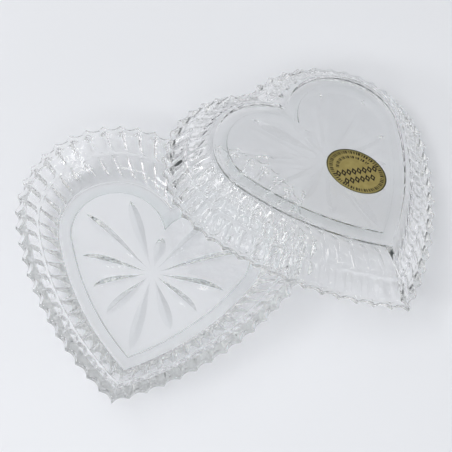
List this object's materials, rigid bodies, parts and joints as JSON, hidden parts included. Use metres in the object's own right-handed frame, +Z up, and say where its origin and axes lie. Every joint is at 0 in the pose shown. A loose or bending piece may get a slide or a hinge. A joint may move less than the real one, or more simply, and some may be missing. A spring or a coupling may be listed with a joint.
{
  "type": "heart trinket box with lid",
  "caption": "Heart-shaped trinket box of clear fluted crystal glass: an open base dish and a star-cut lid that leans on its rim, with an oval foil label on the lid.",
  "frame": {"origin": "centre of the star cut in the base dish's flat foot, on the surface it stands on", "axes": "+Z up, -Y towards the base heart's tip, +X towards the lid"},
  "size_m": [0.1467, 0.1591, 0.0337],
  "materials": {
    "crystal_glass": "clear polished pressed crystal",
    "gold_foil": "satin gold foil with dark printed marks"
  },
  "bodies": {
    "base": {"base_dish": "crystal_glass"},
    "lid": {"lid": "crystal_glass", "label": "gold_foil"}
  },
  "joints": [
    {"name": "lid_lift", "type": "slide", "parent": "base", "child": "lid", "axis": [0, 0, 1], "range_m": [0, 0.06]}
  ]
}
